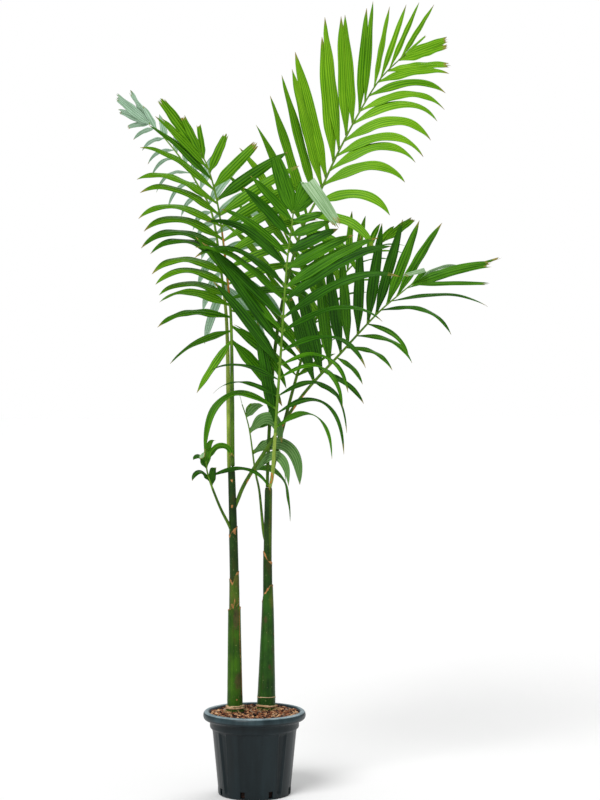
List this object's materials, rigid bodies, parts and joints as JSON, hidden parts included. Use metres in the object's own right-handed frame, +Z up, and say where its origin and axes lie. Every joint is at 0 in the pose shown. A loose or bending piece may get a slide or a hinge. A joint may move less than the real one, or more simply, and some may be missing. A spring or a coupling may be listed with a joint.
{
  "type": "potted areca nut palm",
  "caption": "Indoor palm with two slender ringed green stems and arching feather fronds, standing in a ribbed dark nursery pot.",
  "frame": {"origin": "centre of the pot's flat underside", "axes": "+Z up, +X to the right of the front view, -Y towards the viewer of the front view"},
  "size_m": [1.0503, 0.5653, 2.1745],
  "materials": {
    "pot": "dark slate plastic, faintly streaked, rough 0.45",
    "soil": "loose bark chips, matte",
    "stem": "smooth green leaf sheaths with tan rings and scars, rough 0.4",
    "stalk": "smooth light green stalks, rough 0.45",
    "frond": "pleated green leaflets, satin above and greyer below"
  },
  "bodies": {
    "root": {"pot": "pot", "soil": "soil", "stem_left": "stem", "stem_right": "stem", "stalk_middle": "stalk", "stalk_right": "stalk", "stalk_left": "stalk", "stalk_top_right": "stalk", "stalk_back_left": "stalk", "stalk_back_right": "stalk", "stalk_old_middle": "stalk", "stalk_old_left": "stalk", "frond_middle": "frond", "frond_right": "frond", "frond_left": "frond", "frond_top_right": "frond", "frond_back_left": "frond", "frond_back_right": "frond", "frond_old_middle": "frond", "frond_old_left": "frond"}
  },
  "joints": []
}
